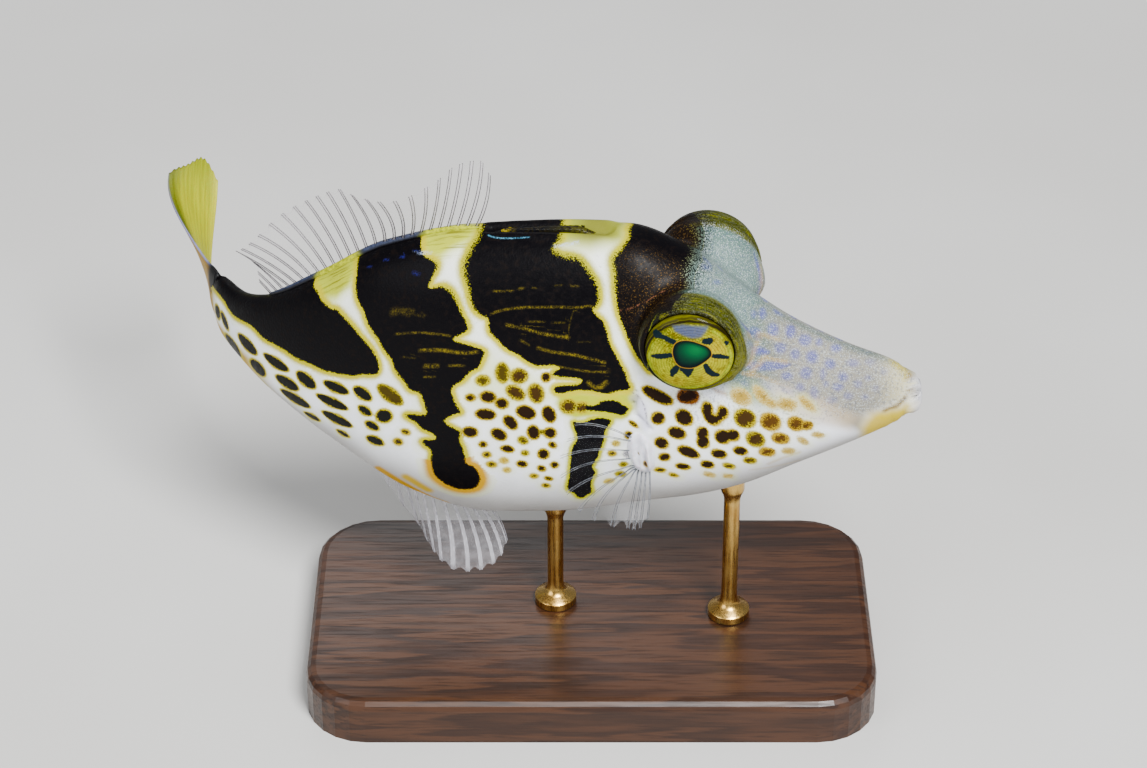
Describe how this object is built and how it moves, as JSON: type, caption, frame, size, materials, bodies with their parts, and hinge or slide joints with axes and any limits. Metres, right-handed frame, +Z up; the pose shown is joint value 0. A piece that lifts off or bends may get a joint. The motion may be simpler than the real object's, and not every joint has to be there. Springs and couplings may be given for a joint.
{
  "type": "blacksaddle filefish model on a display stand",
  "caption": "Life-size still model of a small saddle-banded filefish, swimming with its tail swung to its left, held over a flat base by two short rods.",
  "frame": {"origin": "centre of the underside of the stand's base, on the surface that it stands on", "axes": "+Z up; +X towards the fish's head end, along the base's long side; +Y towards the fish's left, the side to which the tail swings"},
  "size_m": [0.0619, 0.0438, 0.0459],
  "materials": {
    "head_skin": "fine-grained skin, satin, grey-green on top and tan with faint lilac spots on the snout",
    "banded_skin": "fine-grained skin, satin, white with dark brown saddles edged in yellow and rows of dark spots",
    "tail_skin": "fine-grained skin, satin, dark above and orange-yellow below",
    "spine_bone": "satin, rough with small barbs",
    "clear_fin": "clear membrane with fine paired rays",
    "yellow_fin": "translucent bright yellow membrane with a green band along its upper edge",
    "eye": "wet gloss, yellow iris with dark bars and a green pupil",
    "walnut": "satin oiled walnut",
    "brass": "turned, satin"
  },
  "bodies": {
    "root": {"head": "head_skin", "torso": "banded_skin", "tail": "tail_skin", "dorsal_spine": "spine_bone", "dorsal_fin": "clear_fin", "anal_fin": "clear_fin", "caudal_fin": "yellow_fin", "pectoral_fin_left": "clear_fin", "pectoral_fin_right": "clear_fin", "eye_left": "eye", "eye_right": "eye", "stand_base": "walnut", "stand_rod_front": "brass", "stand_rod_rear": "brass"}
  },
  "joints": []
}
